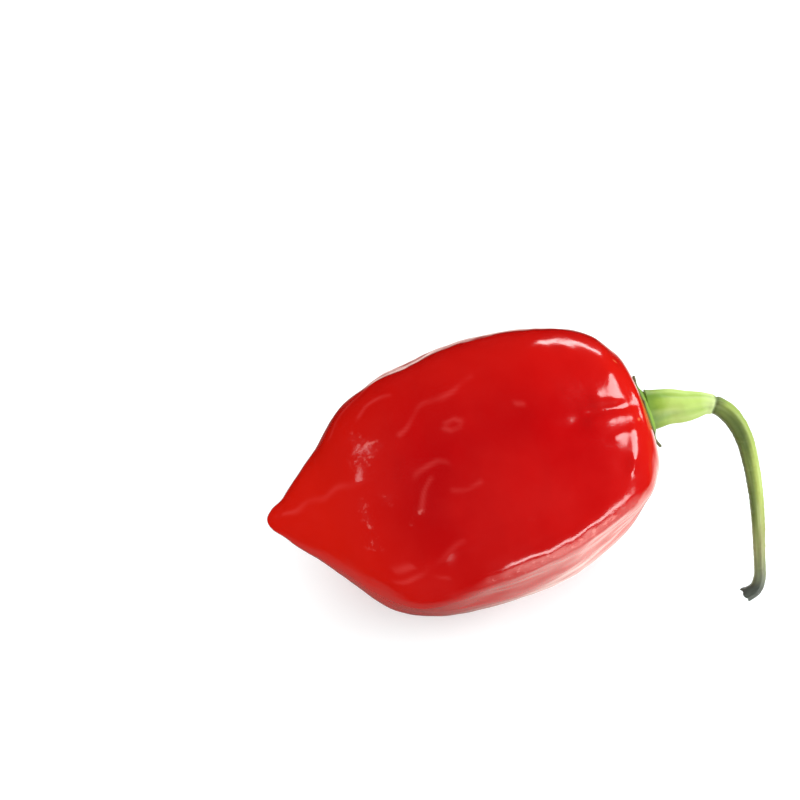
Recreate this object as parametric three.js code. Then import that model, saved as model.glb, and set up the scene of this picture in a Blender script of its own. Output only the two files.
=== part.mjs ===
// A ripe chilli pepper of the short lantern-shaped kind, lying on its side on a table: the red pod, the green calyx
// on its stem end and the bent stalk with its fluted cone. Millimetres and degrees. +X runs from the tip to the
// stem end, +Z is up, and the origin is in the middle of the flat spot that the pod rests on.
import * as THREE from 'three';

// Where the pod lies
const REST_SPOT = [29.4, -0.8];
const AXIS_HEIGHT = 15.25;
const PITCH = 6;

// The pod from its tip: distance along the axis, radius, and how far the centre line bows to the viewer's low side
const POD_ROWS = [
  [0, 0, 0.3],
  [0.6, 1.35, 0.45],
  [2.8, 3.3, 0.8],
  [8.3, 8.8, 1.1],
  [13.8, 14.8, 1.2],
  [19.3, 17.45, 1.3],
  [24.8, 18.2, 1.1],
  [30.4, 18.5, 0.5],
  [38.6, 17.75, -0.55],
  [44.2, 15.85, -1.15],
  [49.4, 12.9, -1.8],
  [52.3, 10, -2.15],
  [53.6, 7.1, -2.3],
  [54.1, 0, -2.36],
];
const POD_LENGTH = 54.1;
const SHOULDER_START = 48;
const BOW_TOWARD = 207.5;

// Four soft lobes, and the grooves between them that run down from the shoulder: angle, where they start, depth
const LOBES = [65, 158, 230, 318];
const LOBE_WIDTH = 24;
const LOBE_HEIGHT = 0.08;
const LOBES_FADE_IN = [3, 18];
const LOBES_FADE_OUT = [50, 54];
const GROOVE_WIDTH = 2.6;
const GROOVES_FULL = 50;
const GROOVES_FADE_OUT = [51.6, 54];
const GROOVES = [
  { angle: 12, from: 20, depth: 1.1 },
  { angle: 107, from: 38, depth: 1.3 },
  { angle: 197, from: 34, depth: 1.0 },
  { angle: 275, from: 34, depth: 1.2 },
];

// The main folds of the skin, ridges up and valleys down, each along points of [distance from the tip, angle]
const FOLDS_FADE_IN = [1, 8];
const FOLDS_FADE_OUT = [50.5, 53.6];
const FOLDS = [
  { height: -0.55, width: 3.2, along: [[44, 105], [39, 103], [32, 99], [25, 102], [21, 116]] },
  { height: -0.5, width: 4, along: [[21, 112], [20, 124]] },
  { height: 0.55, width: 4, along: [[18, 167], [26, 162], [36, 160], [46, 160], [51, 167]] },
  { height: -0.35, width: 5, along: [[40, 126]] },
  { height: 0.35, width: 2.2, along: [[3, 108], [10, 102], [19, 105], [26, 104]] },
  { height: 0.3, width: 1.8, along: [[15, 154], [21, 144], [25, 139]] },
  { height: 0.4, width: 3.5, along: [[23, 125]] },
  { height: 0.3, width: 6, along: [[32, 142]] },
  { height: -0.6, width: 3, along: [[24, 330], [33, 345], [40, 350]] },
  { height: -0.5, width: 3, along: [[16, 255], [24, 238], [34, 232]] },
  { height: -0.45, width: 2.6, along: [[14, 30], [22, 44], [27, 40]] },
  { height: 0.4, width: 3, along: [[18, 310], [26, 318]] },
  { height: -0.4, width: 6, along: [[51, 205]] },
  { height: 0.9, width: 6, along: [[49, 35]] },
  { height: 2, width: 9, along: [[40, 275]] },
];

// The calyx, a thin dish with five short teeth
const GAP = 0.3;
const CALYX_RADIUS = 4.1;
const CALYX_FLAT_RADIUS = 3.7;
const CALYX_THICKNESS = 0.7;
const TOOTH_LENGTH = 1.3;
const TOOTH_HALF_WIDTH = 11;
const TEETH = [30, 96, 162, 210, 294];
const LEVEL_MARGIN = 0.1;
const UNDER_SHARES = [0.25, 0.5, 0.7, 0.83, 0.97];
const OVER_SHARES = [0.97, 0.9, 0.83, 0.7, 0.5, 0.25];

// The stalk: points of its centre line from the middle of its base, then its diameter along the way
const STALK_LINE = [
  [0, -0.1, -0.05],
  [0.9, -0.02, 0.085],
  [1.9, -0.25, 0.12],
  [4.1, -0.65, 0.15],
  [7.2, -0.9, 0.25],
  [8.8, -1.45, 0],
  [10.4, -2.85, -0.85],
  [11.7, -5.3, -2.6],
  [12.4, -9, -5.8],
  [12.5, -13.5, -9.9],
  [12.1, -17.9, -14],
  [11.6, -21.1, -16.7],
  [10.8, -22.1, -17.5],
  [9.35, -22.55, -18],
];
const STALK_DIAMETERS = [
  [0, 6.9],
  [0.02, 6.3],
  [0.045, 5.4],
  [0.107, 4.5],
  [0.163, 3.5],
  [0.2, 2.8],
  [0.23, 2.6],
  [0.27, 2.7],
  [0.35, 2.6],
  [0.5, 2.3],
  [0.7, 1.95],
  [0.88, 1.75],
  [0.95, 1.95],
  [1, 2.3],
];
const RIBS = 5;
const CONE_RIB_HEIGHT = 0.06;
const STALK_RIB_HEIGHT = 0.035;
const CONE_END = 0.2;
const CUT_START = 0.96;
const CUT_SLANT = 0.25;

// How finely each piece is faceted
const POD_STEPS = 50;
const POD_SIDES = 64;
const CALYX_SIDES = 60;
const STALK_STEPS = 48;
const STALK_SIDES = 20;
const CAP_SEARCH_STEPS = 40;
const SMALLEST_STEP = 1e-9;

function radians(degrees) {
  return THREE.MathUtils.degToRad(degrees);
}

// The angle from one direction to another, in radians from -PI to PI
function turn(from, to) {
  return THREE.MathUtils.euclideanModulo(to - from + Math.PI, 2 * Math.PI) - Math.PI;
}

// A round bump of height 1, which fades out at about twice its width
function bump(distance) {
  return Math.exp(-(distance ** 2));
}

// A smooth curve through the given values at the given places: its value and its slope at x
function curveThrough(places, values, x) {
  const last = places.length - 1;
  const chord = (k) => (values[k + 1] - values[k]) / (places[k + 1] - places[k]);
  const slope = (k) => (chord(Math.max(k - 1, 0)) + chord(Math.min(k, last - 1))) / 2;
  let k = 0;
  while (k < last - 1 && x > places[k + 1]) k += 1;
  const span = places[k + 1] - places[k];
  const t = (x - places[k]) / span;
  const rise = values[k + 1] - values[k];
  const start = slope(k) * span;
  const end = slope(k + 1) * span;
  const b = 3 * rise - 2 * start - end;
  const c = start + end - 2 * rise;
  return {
    value: values[k] + t * (start + t * (b + t * c)),
    slope: (start + t * (2 * b + t * 3 * c)) / span,
  };
}

const POD_PLACES = POD_ROWS.map((row) => row[0]);
const POD_RADII_SQUARED = POD_ROWS.map((row) => row[1] ** 2);
const POD_BOWS = POD_ROWS.map((row) => row[2]);

// The radius squared is what runs smoothly, so both ends come out round
function podRadius(s) {
  return Math.sqrt(Math.max(curveThrough(POD_PLACES, POD_RADII_SQUARED, s).value, 0));
}

// How far a place on the skin is from the line of a fold, measured over the skin
function distanceToFold(s, angle, radius, along) {
  let nearest = Infinity;
  along.forEach(([s0, degrees0], k) => {
    const [s1, degrees1] = along[Math.min(k + 1, along.length - 1)];
    const step = new THREE.Vector2(s1 - s0, turn(radians(degrees0), radians(degrees1)) * radius);
    const place = new THREE.Vector2(s - s0, turn(radians(degrees0), angle) * radius);
    const share = THREE.MathUtils.clamp(place.dot(step) / Math.max(step.lengthSq(), SMALLEST_STEP), 0, 1);
    nearest = Math.min(nearest, place.distanceTo(step.multiplyScalar(share)));
  });
  return nearest;
}

// Rises from 0 to 1 along one stretch of the pod, and falls back to 0 along a later one
function between(s, fadeIn, fadeOut) {
  const { smoothstep } = THREE.MathUtils;
  return smoothstep(s, ...fadeIn) * (1 - smoothstep(s, ...fadeOut));
}

// The distance from the pod's centre line to its skin, with the lobes, grooves and folds
function podReach(s, angle) {
  const radius = podRadius(s);
  const lobed = between(s, LOBES_FADE_IN, LOBES_FADE_OUT);
  const lobes = LOBES.reduce((sum, at) => sum + bump(turn(radians(at), angle) / radians(LOBE_WIDTH)), 0);
  let reach = radius * (1 + LOBE_HEIGHT * (lobes - 0.5) * lobed);
  for (const { angle: at, from, depth } of GROOVES) {
    const along = between(s, [from, GROOVES_FULL], GROOVES_FADE_OUT);
    reach -= depth * along * bump((turn(radians(at), angle) * radius) / GROOVE_WIDTH);
  }
  const folded = between(s, FOLDS_FADE_IN, FOLDS_FADE_OUT);
  for (const { height, width, along } of FOLDS) {
    reach += height * folded * bump(distanceToFold(s, angle, radius, along) / width);
  }
  return reach;
}

const podAxis = new THREE.Vector3(Math.cos(radians(PITCH)), 0, Math.sin(radians(PITCH)));
const podUp = new THREE.Vector3(-podAxis.z, 0, podAxis.x);
const podAway = new THREE.Vector3(0, 1, 0);
const tipPlace = new THREE.Vector3(-REST_SPOT[0], -REST_SPOT[1], AXIS_HEIGHT);

// A direction square to the pod's axis: 0 points away from the viewer and 90 up
function podDirection(angle) {
  return podAway.clone().multiplyScalar(Math.cos(angle)).addScaledVector(podUp, Math.sin(angle));
}

const bowSide = podDirection(radians(BOW_TOWARD));

// A point of the pod's skin, with its sections square to the bowed centre line and nothing below the table
function podPoint(s, angle) {
  const reach = podReach(s, angle);
  const bow = curveThrough(POD_PLACES, POD_BOWS, s);
  const out = podDirection(angle);
  const lean = bow.slope * reach * out.dot(bowSide);
  const point = tipPlace.clone().addScaledVector(podAxis, s - lean);
  point.addScaledVector(bowSide, bow.value).addScaledVector(out, reach);
  point.z = Math.max(point.z, 0);
  return point;
}

// Where along the pod its end cap has the given radius
function placeOnCap(radius) {
  let low = SHOULDER_START;
  let high = POD_LENGTH;
  for (let step = 0; step < CAP_SEARCH_STEPS; step += 1) {
    const middle = (low + high) / 2;
    if (podRadius(middle) > radius) low = middle;
    else high = middle;
  }
  return (low + high) / 2;
}

// One closed skin from rings of points between a first and a last point, facing out for rings that turn to the left
// seen from the last point
function closedSkin(first, rings, last) {
  const sides = rings[0].length;
  const points = [first, ...rings.flat(), last];
  const at = (ring, side) => 1 + ring * sides + (side % sides);
  const index = [];
  for (let side = 0; side < sides; side += 1) {
    index.push(0, at(0, side + 1), at(0, side));
    for (let ring = 0; ring < rings.length - 1; ring += 1) {
      const [a, b] = [at(ring, side), at(ring, side + 1)];
      const [c, d] = [at(ring + 1, side), at(ring + 1, side + 1)];
      index.push(a, b, d, a, d, c);
    }
    index.push(points.length - 1, at(rings.length - 1, side), at(rings.length - 1, side + 1));
  }
  const geometry = new THREE.BufferGeometry().setFromPoints(points);
  geometry.setIndex(index);
  geometry.computeVertexNormals();
  return geometry;
}

function ring(sides, pointAt) {
  return Array.from({ length: sides }, (_, side) => pointAt((2 * Math.PI * side) / sides));
}

function podGeometry() {
  const rings = [];
  for (let step = 1; step < POD_STEPS; step += 1) {
    const s = (POD_LENGTH * (1 - Math.cos((Math.PI * step) / POD_STEPS))) / 2;
    rings.push(ring(POD_SIDES, (angle) => podPoint(s, angle)));
  }
  return closedSkin(podPoint(0, 0), rings, podPoint(POD_LENGTH, 0));
}

// The middle of the pod's stem end and the direction that its flat cap faces
const stemPlace = podPoint(POD_LENGTH, 0);
const stemFacing = (() => {
  const s = placeOnCap(CALYX_FLAT_RADIUS);
  const across = podPoint(s, 0).sub(podPoint(s, Math.PI));
  const upward = podPoint(s, Math.PI / 2).sub(podPoint(s, (3 * Math.PI) / 2));
  return across.cross(upward).normalize();
})();

function calyxRim(angle) {
  const nearest = Math.min(...TEETH.map((degrees) => Math.abs(turn(radians(degrees), angle))));
  return CALYX_RADIUS + TOOTH_LENGTH * Math.max(0, 1 - nearest / radians(TOOTH_HALF_WIDTH));
}

// The dish follows the pod below, is level where the stalk stands on it, and thins to the rim
function calyxGeometry() {
  const topHeight = GAP + CALYX_THICKNESS;
  const below = (share, angle) => {
    const point = podPoint(placeOnCap(share * calyxRim(angle)), angle);
    return point.addScaledVector(stemFacing, GAP);
  };
  const above = (share, angle, thickness) => {
    const point = below(share, angle);
    const height = point.clone().sub(stemPlace).dot(stemFacing);
    const radius = share * calyxRim(angle);
    const level = 1 - THREE.MathUtils.smoothstep(radius, CALYX_FLAT_RADIUS - LEVEL_MARGIN, CALYX_RADIUS);
    const rise = THREE.MathUtils.lerp(thickness, topHeight - height, level);
    return point.addScaledVector(stemFacing, rise);
  };
  const outward = UNDER_SHARES.map((share) => ring(CALYX_SIDES, (a) => below(share, a)));
  const rim = ring(CALYX_SIDES, (a) => above(1, a, CALYX_THICKNESS / 2));
  const inward = OVER_SHARES.map((share) => ring(CALYX_SIDES, (a) => above(share, a, CALYX_THICKNESS)));
  const middleTop = stemPlace.clone().addScaledVector(stemFacing, topHeight);
  return closedSkin(stemPlace.clone().addScaledVector(stemFacing, GAP), [...outward, rim, ...inward], middleTop);
}

// The stalk's ribs are high on the cone and faint after it
function stalkReach(share, angle) {
  const radius = curveThrough(
    STALK_DIAMETERS.map((row) => row[0]),
    STALK_DIAMETERS.map((row) => row[1] / 2),
    share,
  ).value;
  const ribHeight = share < CONE_END ? CONE_RIB_HEIGHT : STALK_RIB_HEIGHT;
  return radius * (1 + ribHeight * Math.cos(RIBS * angle));
}

// The stalk widens to its cut end, and the cut is a little slanted
function stalkGeometry() {
  const base = stemPlace.clone().addScaledVector(stemFacing, 2 * GAP + CALYX_THICKNESS);
  const line = new THREE.CatmullRomCurve3(STALK_LINE.map((point) => new THREE.Vector3(...point).add(base)));
  const frames = line.computeFrenetFrames(STALK_STEPS);
  const rings = [];
  for (let step = 0; step <= STALK_STEPS; step += 1) {
    const share = step / STALK_STEPS;
    const centre = line.getPointAt(share);
    const slant = CUT_SLANT * THREE.MathUtils.smoothstep(share, CUT_START, 1);
    rings.push(
      ring(STALK_SIDES, (angle) => {
        const reach = stalkReach(share, angle);
        return centre
          .clone()
          .addScaledVector(frames.normals[step], reach * Math.cos(angle))
          .addScaledVector(frames.binormals[step], reach * Math.sin(angle))
          .addScaledVector(frames.tangents[step], slant * Math.cos(angle));
      }),
    );
  }
  return closedSkin(line.getPointAt(0), rings, line.getPointAt(1));
}

function piece(name, geometry, material) {
  const mesh = new THREE.Mesh(geometry, new THREE.MeshStandardMaterial({ metalness: 0, ...material }));
  mesh.name = name;
  return mesh;
}

const chilliPepper = new THREE.Group();
chilliPepper.add(piece('pod', podGeometry(), { color: 0xc1121a, roughness: 0.25 }));
chilliPepper.add(piece('calyx', calyxGeometry(), { color: 0x8aa83c, roughness: 0.6 }));
chilliPepper.add(piece('stalk', stalkGeometry(), { color: 0xa6c060, roughness: 0.5 }));

export default chilliPepper;
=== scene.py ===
"""A ripe red chilli pepper on a white table: its glossy folded skin, its calyx and its bent stalk."""

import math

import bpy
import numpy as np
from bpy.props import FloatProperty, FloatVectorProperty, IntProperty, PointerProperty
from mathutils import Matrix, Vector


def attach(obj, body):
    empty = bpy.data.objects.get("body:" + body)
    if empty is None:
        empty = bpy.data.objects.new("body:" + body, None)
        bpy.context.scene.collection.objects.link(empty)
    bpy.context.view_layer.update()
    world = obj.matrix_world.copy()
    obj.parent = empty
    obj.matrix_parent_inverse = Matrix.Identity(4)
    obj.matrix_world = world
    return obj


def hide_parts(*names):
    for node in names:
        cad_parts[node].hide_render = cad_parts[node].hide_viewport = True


bl_info = {
    "name": "Chilli Pepper",
    "version": (1, 0, 0),
    "blender": (4, 5, 0),
    "location": "View3D > Sidebar > Chilli Pepper",
    "description": "Makes the pepper's skin, calyx and stalk around its frame, with a table and light",
    "category": "Add Mesh",
}

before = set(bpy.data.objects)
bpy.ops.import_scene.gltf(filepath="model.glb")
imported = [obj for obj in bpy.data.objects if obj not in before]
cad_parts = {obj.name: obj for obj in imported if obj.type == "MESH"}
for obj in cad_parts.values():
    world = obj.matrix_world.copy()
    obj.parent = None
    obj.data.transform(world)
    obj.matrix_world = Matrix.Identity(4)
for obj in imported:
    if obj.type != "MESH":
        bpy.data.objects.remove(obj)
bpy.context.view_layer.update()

# The sizes below are in millimetres and the angles in degrees. closed_skin turns points into metres
MM = 0.001

# Where the pod lies
REST_SPOT = (29.4, -0.8)
AXIS_HEIGHT = 15.25
PITCH = 6

# The pod from its tip: distance along its axis, radius, and how far its centre line bows to BOW_TOWARD
POD_ROWS = np.array([
    (0, 0, 0.3),
    (0.6, 1.35, 0.45),
    (2.8, 3.3, 0.8),
    (8.3, 8.8, 1.1),
    (13.8, 14.8, 1.2),
    (19.3, 17.45, 1.3),
    (24.8, 18.2, 1.1),
    (30.4, 18.5, 0.5),
    (38.6, 17.75, -0.55),
    (44.2, 15.85, -1.15),
    (49.4, 12.9, -1.8),
    (52.3, 10, -2.15),
    (53.6, 7.1, -2.3),
    (54.1, 0, -2.36),
])
POD_LENGTH = 54.1
SHOULDER_START = 48
BOW_TOWARD = 207.5

# Four soft lobes, and the grooves between them down from the shoulder: angle, where each starts, depth
LOBES = (65, 158, 230, 318)
LOBE_WIDTH = 24
LOBE_HEIGHT = 0.08
LOBES_FADE_IN = (3, 18)
LOBES_FADE_OUT = (50, 54)
GROOVE_WIDTH = 2.6
GROOVES_FULL = 50
GROOVES_FADE_OUT = (51.6, 54)
GROOVES = ((12, 20, 1.1), (107, 38, 1.3), (197, 34, 1.0), (275, 34, 1.2))

# The main folds of the skin: height, width, and the points of each, as distances from the tip and angles
FOLDS_FADE_IN = (1, 8)
FOLDS_FADE_OUT = (50.5, 53.6)
FOLDS = (
    (-0.55, 3.2, ((44, 105), (39, 103), (32, 99), (25, 102), (21, 116))),
    (-0.5, 4, ((21, 112), (20, 124))),
    (0.55, 4, ((18, 167), (26, 162), (36, 160), (46, 160), (51, 167))),
    (-0.35, 5, ((40, 126),)),
    (0.35, 2.2, ((3, 108), (10, 102), (19, 105), (26, 104))),
    (0.3, 1.8, ((15, 154), (21, 144), (25, 139))),
    (0.4, 3.5, ((23, 125),)),
    (0.3, 6, ((32, 142),)),
    (-0.6, 3, ((24, 330), (33, 345), (40, 350))),
    (-0.5, 3, ((16, 255), (24, 238), (34, 232))),
    (-0.45, 2.6, ((14, 30), (22, 44), (27, 40))),
    (0.4, 3, ((18, 310), (26, 318))),
    (-0.4, 6, ((51, 205),)),
    (0.9, 6, ((49, 35),)),
    (2, 9, ((40, 275),)),
)

# Folds that only the fine skin has: the sharp crest over the right flank, with a fine ridge and a crease
# by it, and small ridges and furrows on the shoulder
FINE_FOLDS = (
    (0.25, 1.9, ((25, 161), (30, 158), (36, 157), (46, 157), (48, 158))),
    (0.1, 0.6, ((29, 164), (33, 162), (38, 161.5), (46, 161.5))),
    (-0.45, 3, ((27, 175), (36, 171), (45, 171))),
    (0.5, 1.5, ((48, 100), (53.4, 103))),
    (0.55, 1.5, ((46.5, 109), (53.4, 111))),
    (-0.35, 1.0, ((46.5, 104.5), (53.4, 106))),
    (0.45, 2.5, ((51, 73),)),
    (0.2, 1.2, ((50.6, 84), (50.0, 99))),
    (0.22, 0.95, ((51, 125), (50.2, 133), (49.8, 137.5))),
    (0.1, 0.6, ((48, 123), (50.5, 124))),
    (0.35, 0.9, ((49.4, 140), (49.1, 142.5))),
    (0.2, 1.8, ((46.5, 66),)),
)

# The fine skin's relief fades out at both ends, and lies a little low, to stay inside the model's box
RELIEF_FADE_IN = (1, 6)
RELIEF_FADE_OUT = (51, 53.9)
RELIEF_SUNK = 0.07

# Thin pale raised veins and small blisters: the width of each, and the points that it runs along
VEIN_HEIGHT = 0.045
VEIN_SWAY = 0.45
VEINS = (
    (0.32, ((15.3, 70), (16.3, 68), (19.2, 68), (20.9, 68))),
    (0.32, ((20.9, 87), (22.5, 84), (24.2, 82), (26.5, 81), (29.3, 78), (33, 76))),
    (0.33, ((27.6, 91), (28.7, 90), (29.6, 92), (29.5, 94.5), (28.3, 95), (27.4, 93))),
    (0.36, ((21.1, 107), (22.8, 106), (24.5, 105), (25.6, 106))),
    (0.34, ((23.1, 112), (22.3, 115), (21.4, 120), (20.6, 124))),
    (0.34, ((25.6, 118), (27, 120), (29, 119))),
    (0.36, ((15.5, 154), (18.2, 151), (19.2, 150), (20.3, 146), (22.5, 143), (24.2, 141))),
    (0.32, ((15.8, 148), (18.2, 146))),
    (0.32, ((20, 152), (20.9, 154), (22, 155))),
    (0.38, ((2.7, 108), (9.7, 101), (15, 103))),
    (0.36, ((36.7, 91), (37.6, 92))),
    (0.34, ((11, 62), (16, 52), (24, 46))),
    (0.34, ((18, 215), (22, 221), (27, 222), (33, 218))),
    (0.36, ((13, 250), (17, 257), (20, 262), (26, 258))),
    (0.34, ((20, 20), (25, 15), (30, 14), (35, 18))),
    (0.36, ((16, 338), (21, 343), (25, 345), (31, 336))),
)

# Where the skin is crumpled and flecked: the width of each place, and the points that it runs along
CRUMPLE_HEIGHT = 0.035
SHOULDER_CRUMPLE = 0.25
SHOULDER_CRUMPLE_RISES = (41, 46)
CRUMPLES = (
    (1.2, ((15, 93),)),
    (0.5, ((14, 79), (15.8, 86), (17.6, 90))),
    (0.7, ((17.1, 115),)),
    (0.5, ((13.5, 115), (13.8, 122), (14, 127))),
    (0.8, ((14, 137),)),
    (0.6, ((20.6, 124),)),
    (0.3, ((26.5, 159), (27.3, 161))),
    (0.7, ((29, 160), (37, 158.5), (46, 158.5))),
    (0.25, ((19.5, 129),)),
    (0.25, ((33.8, 140),)),
    (1.4, ((24, 225),)),
    (1.2, ((18, 300), (20, 306))),
    (1.3, ((34, 20),)),
)

# Painted light and shade on the red, light above 0 and dark below: painted shade in the valleys and folds,
# painted light on the belly, the lobes and the shoulder. Each has a strength, a width, and where
SHOULDER_PAINTED_LIGHT = 0.7
SHOULDER_PAINTED_LIGHT_RISES = (44, 52)
PAINTED_LIGHT_AND_SHADE = (
    (-0.75, 3.2, ((44, 105), (39, 103), (32, 99), (25, 102), (21, 116), (20, 124))),
    (0.3, 7, ((33, 113), (31, 140))),
    (0.3, 8, ((36, 60),)),
    (-0.35, 6, ((40, 126),)),
    (-0.4, 5, ((24, 108), (22, 132))),
    (0.5, 1.4, ((24.8, 127),)),
    (0.35, 9, ((35, 135),)),
    (0.35, 8, ((12, 120),)),
    (-0.5, 3, ((24, 330), (33, 345), (40, 350))),
    (-0.5, 3, ((16, 255), (24, 238), (34, 232))),
)

# Where the red turns towards orange, besides the tip and the shoulder's end: strength, width, and where.
# The first is low down; the second, on the top, is painted light there
WARMTH_AND_TOP_LIGHT = (
    (0.3, 9, ((14, 170), (30, 185), (44, 185))),
    (0.35, 8, ((22, 62), (46, 58))),
)
TIP_WARMTH_ENDS = (4, 24)
SHOULDER_WARMTH = 0.6
SHOULDER_WARMTH_RISES = (48.5, 52.5)

# Two small orange spots on the shoulder, and the peach ring round the calyx
SPOT_STRENGTH = 0.45
SPOTS = ((0.45, ((51.9, 71),)), (0.4, ((52.1, 119),)))
PEACH_RADIUS = 4.8

# Fine lines along the skin of the right flank: their height, their stretch, and the band that has them
FLANK_LINES_HEIGHT = 0.02
FLANK_LINES_STRETCH = 0.15
FLANK_LINES = ((3.5, ((28, 172), (36, 170), (46, 169), (50, 171))),)

# Random swells of the skin: length of the waves, how many there are, and the seed
SKIN_SWELL = (7, 14, 3)
FINE_SKIN_SWELL = (2.6, 14, 5)
CRUMPLE_SWELL = (1.3, 16, 6)
CRUMPLED_AREAS = (9, 10, 8)
VEIN_SWAY_ALONG = (6, 10, 21)
VEIN_SWAY_ROUND = (6, 10, 22)
VEIN_STRENGTH = (5, 10, 23)
FLANK_LINE_SWELL = (1.6, 12, 24)

# The calyx, a thin dish on the pod's end, which rises to its middle over the radii of DISH_FOOT
CAD_GAP = 0.3
CALYX_RADIUS = 4.1
CALYX_FLAT_RADIUS = 3.7
CALYX_THICKNESS = 0.7
DISH_FOOT = (2.0, 4.0)
EDGE_THICKNESS = 0.2
RIM_INSET = 0.12
RIM_LIFT = 0.3

# Its five short teeth: the angle and the share of the full length of each, and the one that stands up
TOOTH_LENGTH = 1.3
TOOTH_HALF_WIDTH = 17
TEETH = ((30, 1), (96, 0.3), (162, 0.25), (210, 1), (294, 0.8))
LIFTED_TOOTH = 210
TOOTH_LIFT = 0.25

# The stalk: points of its centre line from the middle of its base, then its diameter along the way
STALK_LINE = np.array([
    (0, -0.1, -0.05),
    (1.9, -0.25, 0.12),
    (4.1, -0.65, 0.15),
    (7.2, -0.9, 0.25),
    (8.8, -1.45, 0),
    (10.4, -2.85, -0.85),
    (11.7, -5.3, -2.6),
    (12.4, -9, -5.8),
    (12.5, -13.5, -9.9),
    (12.1, -17.9, -14),
    (11.6, -21.1, -16.7),
    (10.8, -22.1, -17.5),
    (9.35, -22.55, -18),
])
STALK_DIAMETERS = np.array([
    (0, 6.0),
    (0.015, 5.6),
    (0.045, 5.0),
    (0.107, 4.4),
    (0.163, 3.5),
    (0.2, 2.8),
    (0.23, 2.6),
    (0.27, 2.7),
    (0.35, 2.6),
    (0.5, 2.3),
    (0.7, 1.95),
    (0.88, 1.75),
    (0.95, 1.95),
    (1, 2.3),
])

# Its ribs, with heights as shares of the radius, the crease after its cone, and its hollow cut. Places
# along it are shares of its length, and CUT_HOLLOW gives each ring's share of the width and its depth
RIBS = 5
RIB_HEIGHT = 0.045
CONE_RIB_EXTRA = 0.02
FINE_RIB_HEIGHT = 0.012
STALK_INSET = 0.06
SUNK_IN_CALYX = CAD_GAP + 0.6
SUNK_ALONG = 0.03
CREASE = 0.212
CREASE_DEPTH = 0.16
CONE_LIP = 0.06
CUT_START = 0.96
CUT_SLANT = 0.25
CUT_HOLLOW = ((0.85, 0.02), (0.6, 0.16), (0.3, 0.22))
CUT_DEPTH = 0.24
# The way that the stalk's painted shade faces: its side in the bend, away from the light on the right
SHADED_SIDE_WAY = (-0.86, -0.34, -0.38)

# Random swells of the stalk, as for the skin
STALK_SWELL = (0.9, 12, 6)
CUT_EDGE_SWELL = (1.3, 12, 4)
CUT_FACE_SWELL = (1.6, 10, 9)
SHADE_SWELL = (1.5, 10, 14)
STREAK_SWELL = (1.1, 12, 12)


# Forms

def bump(distance):
    """A round bump of height 1, which fades out at about twice its width."""
    return np.exp(-(distance ** 2))


def smoothstep(x, low, high):
    """0 below low, 1 above high, and smooth between them."""
    share = np.clip((x - low) / (high - low), 0, 1)
    return share * share * (3 - 2 * share)


def turn(start, end):
    """The angle from one direction to another, in radians from -pi to pi."""
    return (end - start + np.pi) % (2 * np.pi) - np.pi


def curve_through(places, values, x):
    """A smooth curve through the given values at the given places: its value and its slope at x."""
    chords = np.diff(values) / np.diff(places)
    slopes = (np.append(chords[0], chords) + np.append(chords, chords[-1])) / 2
    k = np.clip(np.searchsorted(places, x) - 1, 0, len(places) - 2)
    span = places[k + 1] - places[k]
    t = (x - places[k]) / span
    rise = values[k + 1] - values[k]
    start = slopes[k] * span
    end = slopes[k + 1] * span
    b = 3 * rise - 2 * start - end
    c = start + end - 2 * rise
    return values[k] + t * (start + t * (b + t * c)), (start + t * (2 * b + t * 3 * c)) / span


def swell(points, length, count, seed):
    """A soft random swell through space, of waves near the given length, about -1 to 1."""
    draw = np.random.default_rng(seed)
    total = 0
    for _ in range(count):
        direction = draw.normal(size=3)
        direction *= 2 * np.pi / (length * draw.uniform(0.75, 1.3) * np.linalg.norm(direction))
        total = total + np.sin(points @ direction + draw.uniform(0, 2 * np.pi))
    return total / math.sqrt(count)


def pod_radius(s):
    """The radius squared is what runs smoothly, so both ends come out round."""
    return np.sqrt(np.maximum(curve_through(POD_ROWS[:, 0], POD_ROWS[:, 1] ** 2, s)[0], 0))


def distance_to_fold(s, angle, radius, along):
    """How far places on the skin are from the line of a fold, measured over the skin."""
    nearest = np.full(np.broadcast(s, angle).shape, np.inf)
    for (s0, degrees0), (s1, degrees1) in zip(along, along[1:] or along):
        step_s = s1 - s0
        step_a = turn(math.radians(degrees0), math.radians(degrees1)) * radius
        place_s = s - s0
        place_a = turn(math.radians(degrees0), angle) * radius
        share = (place_s * step_s + place_a * step_a) / np.maximum(step_s ** 2 + step_a ** 2, 1e-9)
        share = np.clip(share, 0, 1)
        nearest = np.minimum(nearest, np.hypot(place_s - share * step_s, place_a - share * step_a))
    return nearest


def soft_lines(lines, s, angle, radius):
    """The sum of soft lines of height 1, each given as its width and the points that it runs along."""
    return sum(bump(distance_to_fold(s, angle, radius, along) / width) for width, along in lines)


def soft_folds(folds, s, angle, radius):
    """The sum of soft folds, each given as its height, its width and the points that it runs along."""
    return sum(height * soft_lines(((width, along),), s, angle, radius) for height, width, along in folds)


def between(s, fade_in, fade_out):
    """Rises from 0 to 1 along one stretch of the pod, and falls back to 0 along a later one."""
    return smoothstep(s, *fade_in) * (1 - smoothstep(s, *fade_out))


def pod_reach(s, angle):
    """The distance from the pod's centre line to its skin, with the lobes, grooves and folds."""
    radius = pod_radius(s)
    lobed = between(s, LOBES_FADE_IN, LOBES_FADE_OUT)
    lobes = sum(bump(turn(math.radians(at), angle) / math.radians(LOBE_WIDTH)) for at in LOBES)
    reach = radius * (1 + LOBE_HEIGHT * (lobes - 0.5) * lobed)
    for at, start, depth in GROOVES:
        along = between(s, (start, GROOVES_FULL), GROOVES_FADE_OUT)
        reach = reach - depth * along * bump(turn(math.radians(at), angle) * radius / GROOVE_WIDTH)
    return reach + between(s, FOLDS_FADE_IN, FOLDS_FADE_OUT) * soft_folds(FOLDS, s, angle, radius)


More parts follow.
